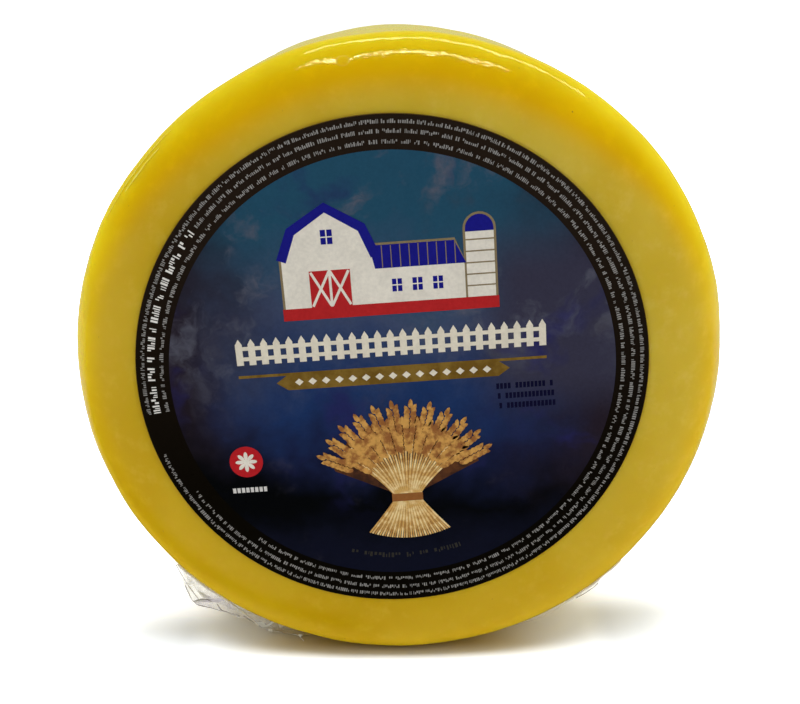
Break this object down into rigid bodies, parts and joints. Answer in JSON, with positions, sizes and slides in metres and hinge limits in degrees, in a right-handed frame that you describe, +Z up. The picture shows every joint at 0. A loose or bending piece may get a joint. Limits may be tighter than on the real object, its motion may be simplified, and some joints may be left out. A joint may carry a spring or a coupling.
{
  "type": "cheese wheel",
  "caption": "Whole hard cheese wheel stood on its rim: smooth yellow coated rind in tight clear film, round printed label on one face, loose film ears low down.",
  "frame": {"origin": "on the table under the middle of the wheel: mid-width, mid-depth, at the flat spot that it stands on", "axes": "+Z up, +Y along the wheel's axis from the labelled face to the back, +X to the right as the label is seen"},
  "size_m": [0.236, 0.1406, 0.235],
  "materials": {
    "rind": "smooth egg-yellow food coating over hard cheese, under skin-tight clear film, softly mottled, with a wet gloss",
    "label_print": "satin printed label, clouded navy field in a black border, with cream, gold, red and blue shapes",
    "clear_film": "clear shrink film, glossy, creased and slightly hazy at the folds"
  },
  "bodies": {
    "root": {"cheese_wheel": "rind", "label": "label_print", "film_ear_left": "clear_film", "film_ear_right": "clear_film"}
  },
  "joints": []
}
